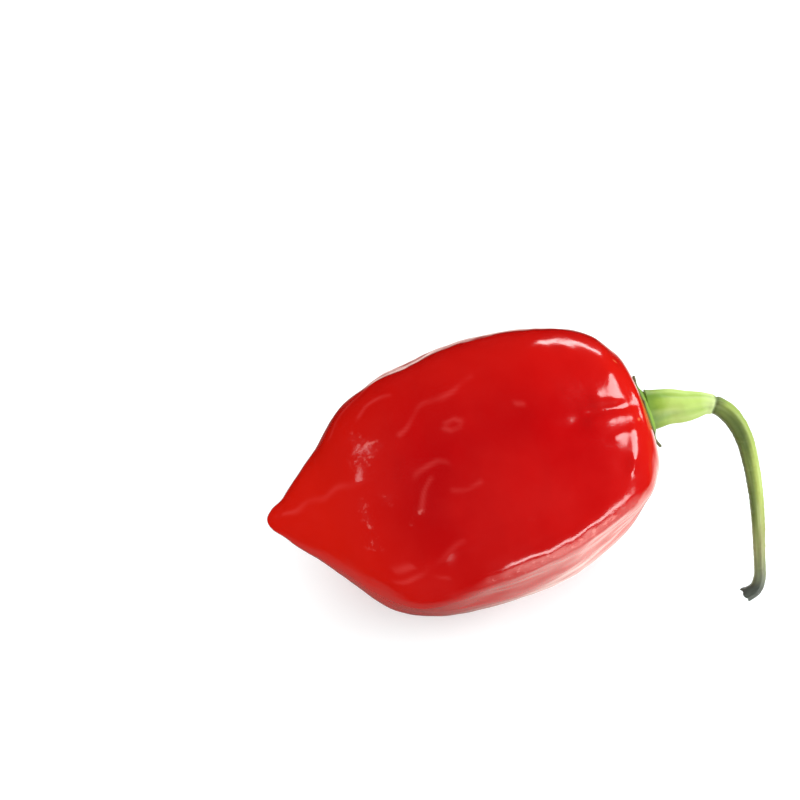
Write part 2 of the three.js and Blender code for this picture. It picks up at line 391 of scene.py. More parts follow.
POD_AXIS = np.array((math.cos(math.radians(PITCH)), 0, math.sin(math.radians(PITCH))))
POD_UP = np.array((-POD_AXIS[2], 0, POD_AXIS[0]))
POD_AWAY = np.array((0.0, 1.0, 0.0))
TIP_PLACE = np.array((-REST_SPOT[0], -REST_SPOT[1], AXIS_HEIGHT))


def pod_direction(angle):
    """A direction square to the pod's axis: 0 points away from the viewer and 90 up."""
    return np.cos(angle)[..., None] * POD_AWAY + np.sin(angle)[..., None] * POD_UP


BOW_SIDE = pod_direction(np.array(math.radians(BOW_TOWARD)))


def pod_point(s, angle, relief=0):
    """Points of the pod's skin, in sections square to the bowed line, with nothing below the table."""
    s, angle = np.broadcast_arrays(np.asarray(s, float), np.asarray(angle, float))
    reach = pod_reach(s, angle) + relief
    bow, slope = curve_through(POD_ROWS[:, 0], POD_ROWS[:, 2], s)
    out = pod_direction(angle)
    lean = slope * reach * (out @ BOW_SIDE)
    centre = TIP_PLACE + (s - lean)[..., None] * POD_AXIS + bow[..., None] * BOW_SIDE
    points = centre + reach[..., None] * out
    points[..., 2] = np.maximum(points[..., 2], 0)
    return points


def place_on_cap(radius):
    """Where along the pod its end cap has the given radius."""
    low = np.full(np.shape(radius), float(SHOULDER_START))
    high = np.full(np.shape(radius), POD_LENGTH)
    for _ in range(40):
        middle = (low + high) / 2
        outside = pod_radius(middle) > radius
        low = np.where(outside, middle, low)
        high = np.where(outside, high, middle)
    return (low + high) / 2


STEM_PLACE = pod_point(POD_LENGTH, 0)


def stem_facing():
    """The direction that the flat cap of the pod's stem end faces."""
    corners = pod_point(place_on_cap(np.full(4, CALYX_FLAT_RADIUS)), np.radians((0, 90, 180, 270)))
    facing = np.cross(corners[0] - corners[2], corners[1] - corners[3])
    return facing / np.linalg.norm(facing)


STEM_FACING = stem_facing()


def closed_skin(name, first, rings, last, marks):
    """A smooth closed mesh object from rings of points between a first and a last point, in millimetres.

    marks are named values at the rings' points, which the materials read as attributes."""
    count, sides = rings.shape[:2]
    points = np.vstack((first, rings.reshape(-1, 3), last))
    here = 1 + np.arange(count - 1)[:, None] * sides + np.arange(sides)
    beside = 1 + np.arange(count - 1)[:, None] * sides + (np.arange(sides) + 1) % sides
    quads = np.stack((here, beside, beside + sides, here + sides), -1).reshape(-1, 4)
    around = np.arange(sides)
    next_around = (around + 1) % sides
    start = np.stack((np.zeros(sides, int), 1 + next_around, 1 + around), -1)
    last_ring = 1 + (count - 1) * sides
    end = np.stack((np.full(sides, len(points) - 1), last_ring + around, last_ring + next_around), -1)
    mesh = bpy.data.meshes.new(name)
    mesh.from_pydata((points * MM).tolist(), [], quads.tolist() + start.tolist() + end.tolist())
    mesh.polygons.foreach_set("use_smooth", [True] * len(mesh.polygons))
    for mark, values in marks.items():
        attribute = mesh.attributes.new(mark, "FLOAT", "POINT")
        whole = np.concatenate(([values[0].mean()], values.ravel(), [values[-1].mean()]))
        attribute.data.foreach_set("value", whole.astype(np.float32))
    mesh.update()
    piece = bpy.data.objects.new(name, mesh)
    bpy.context.scene.collection.objects.link(piece)
    return piece


# Shader maths

class Term:
    """A value in a material: a socket that Python's operators work on."""

    def __init__(self, shader, socket):
        self.shader = shader
        self.socket = socket

    def __add__(self, other):
        return self.shader.math("ADD", self, other)

    def __sub__(self, other):
        return self.shader.math("SUBTRACT", self, other)

    def __rsub__(self, other):
        return self.shader.math("SUBTRACT", other, self)

    def __mul__(self, other):
        return self.shader.math("MULTIPLY", self, other)

    def __truediv__(self, other):
        return self.shader.math("DIVIDE", self, other)

    def __pow__(self, other):
        return self.shader.math("POWER", self, other)

    __radd__ = __add__
    __rmul__ = __mul__


class Shader:
    """The nodes of a material, or of the room's own light."""

    def __init__(self, owner):
        self.owner = owner
        owner.use_nodes = True
        self.tree = owner.node_tree
        self.tree.nodes.clear()

    def node(self, kind, settings, inputs, output=0):
        """A node of any type: its settings first, then the values or links of its sockets."""
        made = self.tree.nodes.new(kind)
        for key, value in settings.items():
            if key == "stops":
                self.set_stops(made.color_ramp, value)
            else:
                setattr(made, key, value)
        for key, value in inputs.items():
            if isinstance(value, Term):
                self.tree.links.new(value.socket, made.inputs[key])
            else:
                made.inputs[key].default_value = value
        return Term(self, made.outputs[output]) if len(made.outputs) else made

    @staticmethod
    def set_stops(ramp, stops):
        """Gives a colour ramp its stops, each a place and a colour."""
        while len(ramp.elements) < len(stops):
            ramp.elements.new(1)
        for element, (place, colour) in zip(ramp.elements, stops):
            element.position = place
            element.color = colour

    def math(self, operation, a, b):
        return self.node("ShaderNodeMath", {"operation": operation}, {0: a, 1: b})

    def mark(self, name):
        """A named value that closed_skin left on the mesh."""
        return self.node("ShaderNodeAttribute", {"attribute_name": name}, {}, "Fac")

    def place(self):
        """The place in the object's own frame, in metres."""
        return self.node("ShaderNodeTexCoord", {}, {}, "Object")

    def noise(self, scale, detail=2.0, roughness=0.5):
        """Random cloudy values from 0 to 1, with the scale in cells to the metre."""
        inputs = {"Vector": self.place(), "Scale": scale, "Detail": detail, "Roughness": roughness}
        return self.node("ShaderNodeTexNoise", {"noise_dimensions": "3D"}, inputs, "Fac")

    def between(self, value, low, high):
        """0 below low, 1 above high, and smooth between them."""
        inputs = {"Value": value, "From Min": low, "From Max": high}
        return self.node("ShaderNodeMapRange", {"interpolation_type": "SMOOTHSTEP"}, inputs)

    def mix(self, share, low, high):
        """The colour low where share is 0, and high where it is 1."""
        inputs = {0: share, 6: low, 7: high}
        return self.node("ShaderNodeMix", {"data_type": "RGBA"}, inputs, 2)

    def ramp(self, value, stops):
        return self.node("ShaderNodeValToRGB", {"stops": stops}, {0: value})

    def bumped(self, height, distance, strength=1.0, normal=None):
        """The normal after a bump of the given height, on top of another normal if one is given."""
        inputs = {"Height": height, "Distance": distance, "Strength": strength}
        if normal:
            inputs["Normal"] = normal
        return self.node("ShaderNodeBump", {}, inputs)

    def finish(self, inputs):
        """Ends the material in a Principled surface with these inputs."""
        surface = self.node("ShaderNodeBsdfPrincipled", {}, inputs)
        self.node("ShaderNodeOutputMaterial", {}, {"Surface": surface})
        return self.owner


# Settings

def colour_setting(name, description, default):
    return FloatVectorProperty(
        name=name, description=description, subtype="COLOR", size=4, min=0, max=1, default=default
    )


def number_setting(name, description, default, **more):
    return FloatProperty(name=name, description=description, default=default, **more)


class PodSettings(bpy.types.PropertyGroup):
    steps: IntProperty(name="Steps", description="Rings along the pod", default=300, min=40)
    sides: IntProperty(name="Sides", description="Faces round the pod", default=320, min=32)
    swell_height: number_setting("Swell height", "Height of the skin's random swell, in millimetres", 0.07)
    # Deep and bright red: random darker and lighter patches, and also painted shade in the valleys and
    # painted light on the lobes and the shoulder
    deep_and_shade_red: colour_setting("Deep red", "Skin in the valleys", (0.36, 0.0006, 0.0012, 1))
    bright: colour_setting("Bright red", "Skin on the lobes and the shoulder", (0.415, 0.0035, 0.003, 1))
    # Warm red: orange at the tip, the stem end and low down, and painted light on the top
    warm: colour_setting("Warm red", "Skin at the tip, the stem end and low down", (0.50, 0.006, 0.001, 1))
    vein: colour_setting("Vein", "Thin raised veins", (0.75, 0.10, 0.09, 1))
    fleck: colour_setting("Fleck", "Corky flecks where the skin is crumpled", (0.9, 0.3, 0.26, 1))
    peach: colour_setting("Peach", "Skin close to the calyx, and small spots", (0.80, 0.19, 0.07, 1))
    roughness: number_setting("Roughness", "Roughness of the waxy skin", 0.12, min=0, max=1)


class CalyxSettings(bpy.types.PropertyGroup):
    sides: IntProperty(name="Sides", description="Faces round the calyx", default=240, min=60)
    green: colour_setting("Green", "The calyx's flesh", (0.19, 0.33, 0.03, 1))
    foot: colour_setting("Foot", "The flesh close to the edge", (0.09, 0.17, 0.012, 1))
    dry: colour_setting("Dry", "Its dry edge and teeth", (0.12, 0.13, 0.045, 1))


class StalkSettings(bpy.types.PropertyGroup):
    steps: IntProperty(name="Steps", description="Rings along the stalk", default=420, min=60)
    sides: IntProperty(name="Sides", description="Faces round the stalk", default=96, min=20)
    foot: colour_setting("Foot green", "The foot and the flutes of the cone", (0.11, 0.24, 0.013, 1))
    rising: colour_setting("Rising green", "The cone just above its foot", (0.24, 0.40, 0.03, 1))
    cone: colour_setting("Cone green", "The pale fluted cone", (0.40, 0.56, 0.115, 1))
    lip: colour_setting("Lip", "The pale lip that ends the cone", (0.50, 0.62, 0.24, 1))
    crease: colour_setting("Crease", "The dark crease after the cone", (0.09, 0.12, 0.03, 1))
    green: colour_setting("Stalk green", "The stalk after the crease", (0.25, 0.33, 0.055, 1))
    yellow: colour_setting("Yellow green", "The middle of the stalk", (0.36, 0.44, 0.085, 1))
    grey: colour_setting("Grey green", "The drying lower stalk", (0.255, 0.25, 0.10, 1))
    dull: colour_setting("Dull green", "The stalk close to its end", (0.14, 0.155, 0.10, 1))
    dark: colour_setting("Dark", "The dry cut end", (0.05, 0.06, 0.048, 1))
    # Painted shade on the stalk's side in the bend
    inner: colour_setting("Inner green", "The side in the bend of the stalk", (0.07, 0.11, 0.012, 1))
    streak: colour_setting("Streak", "Pale streaks along the stalk", (0.52, 0.62, 0.27, 1))


class StageSettings(bpy.types.PropertyGroup):
    azimuth: number_setting("Azimuth", "Camera's turn round the pepper, in degrees", -11.6)
    elevation: number_setting("Elevation", "Camera's height angle, in degrees", 62)
    lens: number_setting("Lens", "Focal length, in millimetres", 100)
    distance: number_setting("Distance", "Camera to pepper", 0.3067, unit="LENGTH")
    tip_column: number_setting("Tip column", "Pixels from the left of the picture to the pod's tip", 266.5)
    tip_row: number_setting("Tip row", "Pixels from the top of the picture to the pod's tip", 517)
    floor: colour_setting("Floor", "The white table", (0.80, 0.90, 0.90, 1))
    glow: number_setting("Glow", "Light from within the table", 0.2)
    sky: number_setting("Sky", "Strength of the even light", 1.3)
    slant: number_setting("Slant", "How much dimmer the even light is on the right and below", 0.1)
    window: number_setting("Window", "Power of the window on the right, in watts", 2.7)
    strip: number_setting("Strip", "Power of the low strip in front, in watts", 1.1)
    back: number_setting("Back", "Power of the low panel behind, in watts", 0.16)
    left: number_setting("Left", "Power of the faint panel on the left, in watts", 0.14)
    card: colour_setting("Card", "Warm white of the card that gloss mirrors", (1, 0.93, 0.85, 1))
    near: number_setting("Near card", "Strength of the card close to the right flank", 1.4)
    far: number_setting("Far card", "Strength of the card further off, seen under the ridge", 3.6)
    rim: number_setting("Rim", "Strength of the card that shows along the pod's outline", 1.3)
    foot_right: number_setting("Under right", "Strength of the card under the pod's right side", 0.4)
    foot_all: number_setting("Under", "Strength of the card all round under the pod", 0.15)


# Materials

WAX_IOR = 1.45
PLANT_IOR = 1.42

# Half the length and width of the oval under the pod, in metres
UNDER_POD = (0.034, 0.026)


def skin_material(settings):
    """Waxy skin in several reds with painted light and shade, pale veins and flecks, crumpled places, and
    peach by the calyx.
    """
    shader = Shader(bpy.data.materials.new("pod_skin"))
    crumpled = shader.mark("crumpled")
    clouds = shader.noise(110, 3.0, 0.6)
    # The red goes from deep to bright with random clouds and with the painted light and shade
    share = shader.between((clouds - 0.5) * 1.1 + shader.mark("tone") * 0.55 + 0.45, 0.0, 1.0)
    red = shader.mix(share, tuple(settings.deep_and_shade_red), tuple(settings.bright))
    # Warm red, which on the top is painted light
    red = shader.mix(shader.mark("warm") * 0.8, red, tuple(settings.warm))
    red = shader.mix(shader.mark("vein") * 0.18, red, tuple(settings.vein))
    patches = shader.noise(260, 2.0, 0.5)
    near_calyx = shader.between(shader.mark("by_stem") + (patches - 0.5) * 0.3, 0.25, 0.65)
    colour = shader.mix(near_calyx, red, tuple(settings.peach))
    flecks = shader.between(shader.noise(1100, 2.0, 0.5), 0.52, 0.72) * shader.mark("flecked")
    colour = shader.mix(flecks * 0.3, colour, tuple(settings.fleck))
    tiny = shader.bumped(shader.noise(2600, 3.0, 0.6), 0.00002, 0.3)
    wrinkles = shader.noise(1100, 3.0, 0.6) - 0.5
    normal = shader.bumped(wrinkles * (crumpled * 0.9 + 0.1), 0.00012, 0.6, tiny)
    roughness = (clouds - 0.5) * 0.06 + crumpled * 0.06 + settings.roughness
    return shader.finish({"Base Color": colour, "Roughness": roughness, "IOR": WAX_IOR, "Normal": normal})


def calyx_material(settings):
    """Green flesh, dark at its foot, that dries to a thin olive edge and teeth."""
    shader = Shader(bpy.data.materials.new("calyx_green"))
    out = shader.mark("out")
    clouds = shader.noise(900, 3.0, 0.6)
    foot = shader.between(out + clouds * 0.05, 0.76, 0.92)
    flesh = shader.mix(foot, tuple(settings.green), tuple(settings.foot))
    dry = shader.between(out + clouds * 0.08, 0.97, 1.06)
    colour = shader.mix(dry, flesh, tuple(settings.dry))
    normal = shader.bumped(shader.noise(3500, 3.0, 0.6), 0.00006, 0.5)
    roughness = 0.55 + clouds * 0.2
    return shader.finish({"Base Color": colour, "Roughness": roughness, "IOR": PLANT_IOR, "Normal": normal})


def stalk_material(settings):
    """A pale cone with a dark foot and crease, then green with painted shade on its side in the bend,
    greying to a dark cut end.
    """
    shader = Shader(bpy.data.materials.new("stalk_green"))
    along = shader.mark("along")
    clouds = shader.noise(450, 4.0, 0.6)
    length = shader.ramp(along + (clouds - 0.5) * 0.03, (
        (0.0, tuple(settings.foot)),
        (0.02, tuple(settings.rising)),
        (0.06, tuple(settings.cone)),
        (0.16, tuple(settings.cone)),
        (CREASE - 0.006, tuple(settings.lip)),
        (CREASE + 0.004, tuple(settings.crease)),
        (0.25, tuple(settings.green)),
        (0.58, tuple(settings.yellow)),
        (0.8, tuple(settings.grey)),
        (0.91, tuple(settings.dull)),
        (0.955, tuple(settings.dark)),
    ))
    by_foot = 1 - shader.between(along, 0.02, 0.1)
    alive = 1 - shader.between(along, 0.86, 0.94)
    flutes = shader.mark("groove") * (by_foot * 0.5 + 0.3) * alive
    fluted = shader.mix(flutes, length, tuple(settings.foot))
    streaked = shader.mix(shader.mark("streaks") * 0.3 * alive, fluted, tuple(settings.streak))
    # Painted shade on the side in the bend, weaker towards the stalk's end
    shade = shader.mark("shade") * (1 - shader.between(along, 0.62, 0.9) * 0.55)
    colour = shader.mix(shade, streaked, tuple(settings.inner))
    normal = shader.bumped(shader.noise(2600, 3.0, 0.6), 0.00006, 0.5)
    roughness = 0.42 + clouds * 0.2
    return shader.finish({"Base Color": colour, "Roughness": roughness, "IOR": PLANT_IOR, "Normal": normal})


def card_material(settings):
    """Light from the table's level that only gloss mirrors, on the right flank and along the outline."""
    shader = Shader(bpy.data.materials.new("card"))
    parts = shader.tree.nodes.new("ShaderNodeSeparateXYZ")
    shader.tree.links.new(shader.place().socket, parts.inputs[0])
    x, y = Term(shader, parts.outputs["X"]), Term(shader, parts.outputs["Y"])
    away = (x * x + y * y) ** 0.5
    toward_front = 0 - y - x * 0.6
    right = shader.between(x, -0.012, 0.026)
    front = shader.between(0 - y, 0.0, 0.012)
    near = (1 - shader.between(away, 0.1, 0.15)) * shader.between(toward_front, -0.02, 0.0)
    far = shader.between(toward_front, 0.005, 0.03) * shader.between(away, 0.03, 0.07)
    far = far * (1 - shader.between(away, 0.13, 0.2))
    flank = right * front * (near * settings.near + far * settings.far)
    around = (x / UNDER_POD[0]) ** 2 + (y / UNDER_POD[1]) ** 2
    rim = shader.between(around, 0.6, 1.1) * (1 - shader.between(around, 1.5, 3.2))
    rim = rim * shader.between(y + x * 0.8, 0.005, 0.02) * shader.between(x, -0.025, -0.002)
    under = (1 - shader.between(around, 0.9, 1.8)) * (right * settings.foot_right + settings.foot_all)
    inputs = {"Color": tuple(settings.card), "Strength": flank + rim * settings.rim + under}
    light = shader.node("ShaderNodeEmission", {}, inputs)
    shader.node("ShaderNodeOutputMaterial", {}, {"Surface": light})
    return shader.owner


def floor_material(settings):
    shader = Shader(bpy.data.materials.new("table"))
    grain = shader.noise(300, 2.0, 0.5)
    normal = shader.bumped(grain, 0.00002, 0.2)
    return shader.finish({
        "Base Color": tuple(settings.floor),
        "Roughness": 0.7,
        "Specular IOR Level": 0.2,
        "Normal": normal,
        "Emission Color": (1, 1, 1, 1),
        "Emission Strength": settings.glow,
    })


# Pieces

def dress(piece, node, material):
    """The piece stands for its node, on the pepper's one body."""
    piece.data.materials.append(material)
    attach(piece, "root")
    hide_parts(node)


def pod_veins(s, angle, radius, space):
    """How much each place is on a vein, from 0 to 1, with the veins' lines swaying a little."""
    swayed_s = s + VEIN_SWAY * swell(space, *VEIN_SWAY_ALONG)
    swayed_angle = angle + VEIN_SWAY * swell(space, *VEIN_SWAY_ROUND) / np.maximum(radius, 1)
    lines = soft_lines(VEINS, swayed_s, swayed_angle, radius)
    return np.clip(lines * (0.65 + 0.35 * swell(space, *VEIN_STRENGTH)), 0, 1)


def skin_relief(settings, s, angle, radius, space, veins, crumpled):
    """How far the fine skin stands out from the plain one."""
    relief = settings.swell_height * (swell(space, *SKIN_SWELL) + 0.3 * swell(space, *FINE_SKIN_SWELL))
    relief = relief + VEIN_HEIGHT * veins + CRUMPLE_HEIGHT * crumpled * swell(space, *CRUMPLE_SWELL)
    relief = relief + soft_folds(FINE_FOLDS, s, angle, radius)
    stretched = np.concatenate((FLANK_LINES_STRETCH * space[..., :1], space[..., 1:]), -1)
    lines = soft_lines(FLANK_LINES, s, angle, radius) * swell(stretched, *FLANK_LINE_SWELL)
    relief = relief + FLANK_LINES_HEIGHT * lines
    return relief * between(s, RELIEF_FADE_IN, RELIEF_FADE_OUT) - RELIEF_SUNK


def make_pod(settings):
    share = np.arange(1, settings.steps) / settings.steps
    s = (POD_LENGTH * (1 - np.cos(np.pi * share)) / 2)[:, None]
    angle = (2 * np.pi * np.arange(settings.sides) / settings.sides)[None, :]
    radius = pod_radius(s)
    space = np.stack(np.broadcast_arrays(s, radius * np.cos(angle), radius * np.sin(angle)), -1)
    flecked = np.clip(soft_lines(CRUMPLES, s, angle, radius), 0, 1)
    crumpled = np.clip(flecked + 0.3 * smoothstep(swell(space, *CRUMPLED_AREAS), 0.5, 1.4), 0, 1)
    veins = pod_veins(s, angle, radius, space)
    relief = skin_relief(settings, s, angle, radius, space, veins, crumpled)
    warm = 1 - smoothstep(s, *TIP_WARMTH_ENDS) + SHOULDER_WARMTH * smoothstep(s, *SHOULDER_WARMTH_RISES)
    by_stem = np.where(s > SHOULDER_START, bump(radius / PEACH_RADIUS), 0)
    marks = {
        # Painted light and shade of the red: painted shade in the valleys, painted light on the lobes and
        # the shoulder
        "tone": soft_folds(PAINTED_LIGHT_AND_SHADE, s, angle, radius) + SHOULDER_PAINTED_LIGHT * smoothstep(s, *SHOULDER_PAINTED_LIGHT_RISES),
        # Warm red, partly painted light on the top
        "warm": np.clip(warm + soft_folds(WARMTH_AND_TOP_LIGHT, s, angle, radius), 0, 1),
        "vein": veins,
        "flecked": flecked,
        "crumpled": np.clip(crumpled + SHOULDER_CRUMPLE * smoothstep(s, *SHOULDER_CRUMPLE_RISES), 0, 1),
        "by_stem": by_stem + SPOT_STRENGTH * soft_lines(SPOTS, s, angle, radius),
    }
    piece = closed_skin("pod_skin", pod_point(0, 0), pod_point(s, angle, relief), STEM_PLACE, marks)
    dress(piece, "pod", skin_material(settings))


def calyx_teeth(angle):
    """How far the teeth stand out of the calyx's round edge, from 0 to 1."""
    total = 0
    for at, length in TEETH:
        side = np.abs(turn(math.radians(at), angle)) / math.radians(TOOTH_HALF_WIDTH)
        total = total + length * np.maximum(0, 1 - side) ** 1.3
    return total


def make_calyx(settings):
    """A dish that follows the pod's skin, thick under the cone and thin at its lifted wavy edge."""
    angle = 2 * np.pi * np.arange(settings.sides) / settings.sides
    teeth = calyx_teeth(angle)
    waves = 0.06 * np.sin(7 * angle) + 0.04 * np.sin(17 * angle + 2)
    rim = CALYX_RADIUS - RIM_INSET + waves + TOOTH_LENGTH * teeth
    top_height = CAD_GAP + CALYX_THICKNESS
    lifted = RIM_LIFT + TOOTH_LIFT * bump(turn(math.radians(LIFTED_TOOTH), angle) / 0.3)

    def below(share):
        radius = share * rim
        points = pod_point(place_on_cap(radius), angle)
        lift = lifted * smoothstep(radius, CALYX_RADIUS - 0.2, CALYX_RADIUS + TOOTH_LENGTH)
        return points + lift[:, None] * STEM_FACING

    def above(share, thickness):
        points = below(share)
        thickness = thickness * (1 + smoothstep(teeth, 0.05, 0.5))
        height = (points - STEM_PLACE) @ STEM_FACING
        level = (1 - smoothstep(share * rim, *DISH_FOOT)) ** 1.5
        rise = thickness + level * (top_height - height - thickness)
        return points + rise[:, None] * STEM_FACING

    outward = [below(share) for share in np.linspace(0.1, 0.98, 16)]
    edge = [above(share, thickness) for share, thickness in ((0.996, 0.05), (1.0, 0.1), (0.992, 0.16))]
    inward = [above(share, EDGE_THICKNESS) for share in np.linspace(0.975, 0.1, 30)]
    rings = np.array(outward + edge + inward)
    flat = rings - STEM_PLACE
    reach = np.linalg.norm(flat - (flat @ STEM_FACING)[..., None] * STEM_FACING, axis=-1)
    middle = STEM_PLACE + top_height * STEM_FACING
    piece = closed_skin("calyx_dish", STEM_PLACE.copy(), rings, middle, {"out": reach / CALYX_RADIUS})
    dress(piece, "calyx", calyx_material(settings))


def smooth_line(knots, steps):
    """Evenly spaced points of a centripetal Catmull-Rom curve through the knots, and its ways there."""
    knots = np.vstack((2 * knots[0] - knots[1], knots, 2 * knots[-1] - knots[-2]))
    chords = np.diff(knots, axis=0)
    gaps = np.sqrt(np.linalg.norm(chords, axis=1))[:, None]
    slopes = chords[:-1] / gaps[:-1] + chords[1:] / gaps[1:]
    slopes = slopes - (chords[:-1] + chords[1:]) / (gaps[:-1] + gaps[1:])
    t = np.linspace(0, 1, 100)[:, None]
    parts = []
    for k in range(len(knots) - 3):
        rise, gap = chords[k + 1], gaps[k + 1]
        start, end = slopes[k] * gap, slopes[k + 1] * gap
        bent = 3 * rise - 2 * start - end + t * (start + end - 2 * rise)
        parts.append(knots[k + 1] + t * (start + t * bent))
    dense = np.concatenate(parts)
    run = np.append(0, np.cumsum(np.linalg.norm(np.diff(dense, axis=0), axis=1)))
    at = np.linspace(0, run[-1], steps + 1)
    centres = np.stack([np.interp(at, run, dense[:, axis]) for axis in range(3)], -1)
    ways = np.gradient(centres, axis=0)
    return centres, ways / np.linalg.norm(ways, axis=1)[:, None]


def carried_frames(ways):
    """Two directions square to the line at each point, carried along it without twist."""
    side = np.cross(ways[0], (0, 0, 1.0))
    side /= np.linalg.norm(side)
    sides = []
    for way in ways:
        side = side - (side @ way) * way
        side /= np.linalg.norm(side)
        sides.append(side)
    sides = np.array(sides)
    return sides, np.cross(ways, sides)


def make_stalk(settings):
    """A ribbed tube along the stalk's line, with its foot sunk in the calyx and a hollow ragged cut."""
    base = STEM_PLACE + (2 * CAD_GAP + CALYX_THICKNESS) * STEM_FACING
    centres, ways = smooth_line(STALK_LINE + base, settings.steps)
    side, up = carried_frames(ways)
    along = np.linspace(0, 1, settings.steps + 1)[:, None]
    angle = (2 * np.pi * np.arange(settings.sides) / settings.sides)[None, :]
    radius = curve_through(STALK_DIAMETERS[:, 0], STALK_DIAMETERS[:, 1] / 2, along)[0]
    out = np.cos(angle)[..., None] * side[:, None] + np.sin(angle)[..., None] * up[:, None]
    space = centres[:, None] + 2 * out

    on_cone = 1 - smoothstep(along, CREASE - 0.004, CREASE + 0.004)
    rib = np.cos(RIBS * angle + 0.6 * np.sin(5 * along))
    fine_rib = np.cos(3 * RIBS * angle + 4 * along) + 0.6 * np.sin(11 * angle - 7 * along)
    ribbed = smoothstep(along, 0.005, 0.06) * (1 - 0.6 * smoothstep(along, 0.93, 0.99))
    ribs = ribbed * ((RIB_HEIGHT + CONE_RIB_EXTRA * on_cone) * rib + FINE_RIB_HEIGHT * fine_rib)
    crease = bump((along - CREASE - 0.004) / 0.005) * (0.7 + 0.3 * np.cos(angle - 4))
    lip = bump((along - CREASE + 0.009) / 0.008)
    ragged = smoothstep(along, CUT_START, 1)
    reach = radius * (1 + ribs) - STALK_INSET - CREASE_DEPTH * crease + CONE_LIP * lip
    reach = reach + ragged * 0.06 * swell(space, *CUT_EDGE_SWELL) + 0.02 * swell(space, *STALK_SWELL)

    push = ragged * (CUT_SLANT * np.cos(angle) + 0.1 * swell(space, *CUT_FACE_SWELL))
    sunk = SUNK_IN_CALYX * (1 - smoothstep(along, 0, SUNK_ALONG))
    rings = centres[:, None] + reach[..., None] * out + (push - sunk)[..., None] * ways[:, None]
    end = rings[-1] - centres[-1]
    cut = [centres[-1] + end * share - depth * ways[-1] for share, depth in CUT_HOLLOW]
    rings = np.concatenate((rings, np.array(cut)))

    stretched = np.stack(np.broadcast_arrays(6 * along, 1.3 * np.cos(angle), 1.3 * np.sin(angle)), -1)
    # Painted shade: darker on the side in the bend, less far down the stalk, and faint on the cone
    shaded_side = out @ np.array(SHADED_SIDE_WAY) + 0.25 * swell(stretched, *SHADE_SWELL)
    shaded_side = shaded_side - 0.5 * smoothstep(along, 0.35, 0.7)
    past_cone = smoothstep(along, CREASE - 0.01, CREASE + 0.01)
    ends = np.ones((len(cut), settings.sides))
    marks = {
        "along": np.vstack((along * np.ones_like(angle), ends)),
        "groove": np.vstack((np.clip(-rib * 0.8, 0, 1), ends * 0)),
        "streaks": np.vstack((np.clip(swell(stretched, *STREAK_SWELL), 0, 1), ends * 0)),
        "shade": np.vstack((smoothstep(shaded_side, -0.6, 0.5) * (0.12 + 0.88 * past_cone), ends * 0)),
    }
    first = centres[0] - SUNK_IN_CALYX * ways[0]
    middle = centres[-1] - CUT_DEPTH * ways[-1]
    piece = closed_skin("stalk_stem", first, rings, middle, marks)
    dress(piece, "stalk", stalk_material(settings))


# Stage, with lengths in metres

PICTURE = 800
TABLE_HALF = 2.5
CARD_HALF = 0.4
CARD_LEVEL = -0.0001
SKY_BRIGHT_WAY = (-0.9, 0, 0.4)

# Soft lights that face the pod: azimuth and elevation in degrees, distance, and size
LIGHTS = {
    "window": (2, 19, 0.6, (0.3, 0.33)),
    "strip": (-58, 4, 0.4, (0.5, 0.05)),
    "back": (56, 3, 0.3, (0.12, 0.05)),
    "left": (168, 24, 0.5, (0.13, 0.08)),
}


def view_axes(settings):
    """The picture's right and up, and the way back to the camera."""
    azimuth, elevation = math.radians(settings.azimuth), math.radians(settings.elevation)
    right = Vector((math.cos(azimuth), math.sin(azimuth), 0))
    back = Vector((
        math.sin(azimuth) * math.cos(elevation),
        -math.cos(azimuth) * math.cos(elevation),
        math.sin(elevation),
    ))
    return right, back.cross(right), back


def make_camera(settings):
    """The camera stands where the pod's tip falls on its pixel of the 800 x 800 picture."""
    right, up, back = view_axes(settings)
    data = bpy.data.cameras.new("camera")
    data.lens = settings.lens
    pixel = data.sensor_width / settings.lens / PICTURE
    across = (settings.tip_column - PICTURE / 2) * pixel * settings.distance
    down = (settings.tip_row - PICTURE / 2) * pixel * settings.distance
    data.clip_start = 0.01
    camera = bpy.data.objects.new("camera", data)
    place = Vector(TIP_PLACE) * MM - right * across + up * down + back * settings.distance
    turned = Matrix((right, up, back)).transposed().to_4x4()
    camera.matrix_world = Matrix.Translation(place) @ turned
    bpy.context.scene.collection.objects.link(camera)
    bpy.context.scene.camera = camera


def make_sheet(name, half, level, material):
    """A level square sheet, which is part of the stage."""
    mesh = bpy.data.meshes.new(name)
    corners = [(-half, -half, level), (half, -half, level), (half, half, level), (-half, half, level)]
    mesh.from_pydata(corners, [], [(0, 1, 2, 3)])
    mesh.materials.append(material)
    sheet = bpy.data.objects.new(name, mesh)
    bpy.context.scene.collection.objects.link(sheet)
    return sheet


def make_floor(settings):
    floor = make_sheet("table", TABLE_HALF, 0, floor_material(settings))
    floor.visible_glossy = False


def make_card(settings):
    """A sheet that only the gloss of the pepper shows, in place of the table."""
    card = make_sheet("card", CARD_HALF, CARD_LEVEL, card_material(settings))
    card.visible_camera = card.visible_diffuse = card.visible_shadow = card.visible_transmission = False


def make_light(name, azimuth, elevation, distance, size, power, gloss_only):
    """A light that faces the pod: a rectangle that only gloss shows, or an ellipse that lights all."""
    turned, raised = math.radians(azimuth), math.radians(elevation)
    level = math.cos(raised)
    way = Vector((math.cos(turned) * level, math.sin(turned) * level, math.sin(raised)))
    data = bpy.data.lights.new(name, "AREA")
    data.shape = "RECTANGLE" if gloss_only else "ELLIPSE"
    data.size, data.size_y = size
    data.energy = power
    light = bpy.data.objects.new(name, data)
    light.location = Vector((0, 0, AXIS_HEIGHT * MM)) + way * distance
    light.rotation_euler = way.to_track_quat("Z", "Y").to_euler()
    light.visible_diffuse = not gloss_only
    bpy.context.scene.collection.objects.link(light)


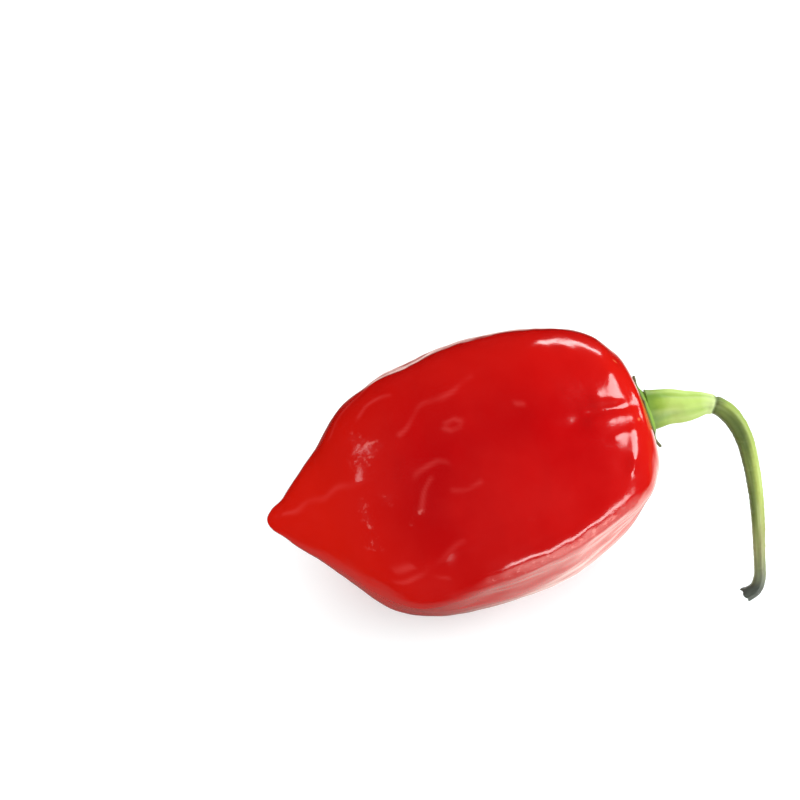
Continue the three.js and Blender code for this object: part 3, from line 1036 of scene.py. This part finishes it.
def make_room(settings):
    """Even light from all round that no gloss shows, a little brighter on the left and above."""
    room = bpy.data.worlds.new("room")
    shader = Shader(room)
    way = shader.node("ShaderNodeTexCoord", {}, {}, "Generated")
    inputs = {0: way, 1: SKY_BRIGHT_WAY}
    bright_side = shader.node("ShaderNodeVectorMath", {"operation": "DOT_PRODUCT"}, inputs, "Value")
    strength = bright_side * settings.slant + settings.sky
    light = shader.node("ShaderNodeBackground", {}, {"Color": (1, 1, 1, 1), "Strength": strength})
    shader.node("ShaderNodeOutputWorld", {}, {"Surface": light})
    room.cycles_visibility.glossy = False
    bpy.context.scene.world = room


def make_stage(settings):
    make_camera(settings)
    make_floor(settings)
    make_card(settings)
    make_room(settings)
    for name, placed in LIGHTS.items():
        make_light(name, *placed, getattr(settings, name), gloss_only=name != "window")
    bpy.context.scene.view_settings.view_transform = "Standard"


# Operators and panel

class CHILLI_OT_pod(bpy.types.Operator):
    """Makes the pod's skin with its folds and fine wrinkles"""

    bl_idname = "chilli.pod"
    bl_label = "Pod"

    def execute(self, context):
        make_pod(context.scene.chilli_pod)
        return {"FINISHED"}


class CHILLI_OT_calyx(bpy.types.Operator):
    """Makes the calyx with its dry teeth"""

    bl_idname = "chilli.calyx"
    bl_label = "Calyx"

    def execute(self, context):
        make_calyx(context.scene.chilli_calyx)
        return {"FINISHED"}


class CHILLI_OT_stalk(bpy.types.Operator):
    """Makes the fluted cone and the bent stalk"""

    bl_idname = "chilli.stalk"
    bl_label = "Stalk"

    def execute(self, context):
        make_stalk(context.scene.chilli_stalk)
        return {"FINISHED"}


class CHILLI_OT_stage(bpy.types.Operator):
    """Makes the table, the light and the camera"""

    bl_idname = "chilli.stage"
    bl_label = "Stage"

    def execute(self, context):
        make_stage(context.scene.chilli_stage)
        return {"FINISHED"}


class CHILLI_PT_panel(bpy.types.Panel):
    """Lists the pepper's pieces and the stage"""

    bl_idname = "CHILLI_PT_panel"
    bl_label = "Chilli Pepper"
    bl_space_type = "VIEW_3D"
    bl_region_type = "UI"
    bl_category = "Chilli Pepper"

    def draw(self, context):
        for operator in OPERATORS:
            self.layout.operator(operator.bl_idname)


SETTINGS = {
    "chilli_pod": PodSettings,
    "chilli_calyx": CalyxSettings,
    "chilli_stalk": StalkSettings,
    "chilli_stage": StageSettings,
}
OPERATORS = (CHILLI_OT_stage, CHILLI_OT_pod, CHILLI_OT_calyx, CHILLI_OT_stalk)


def register():
    for made in (*SETTINGS.values(), *OPERATORS, CHILLI_PT_panel):
        bpy.utils.register_class(made)
    for name, group in SETTINGS.items():
        setattr(bpy.types.Scene, name, PointerProperty(type=group))


def unregister():
    for name in SETTINGS:
        delattr(bpy.types.Scene, name)
    for made in (CHILLI_PT_panel, *reversed(OPERATORS), *reversed(SETTINGS.values())):
        bpy.utils.unregister_class(made)


def main():
    register()
    bpy.ops.chilli.stage()
    bpy.ops.chilli.pod()
    bpy.ops.chilli.calyx()
    bpy.ops.chilli.stalk()


if __name__ == "__main__":
    main()
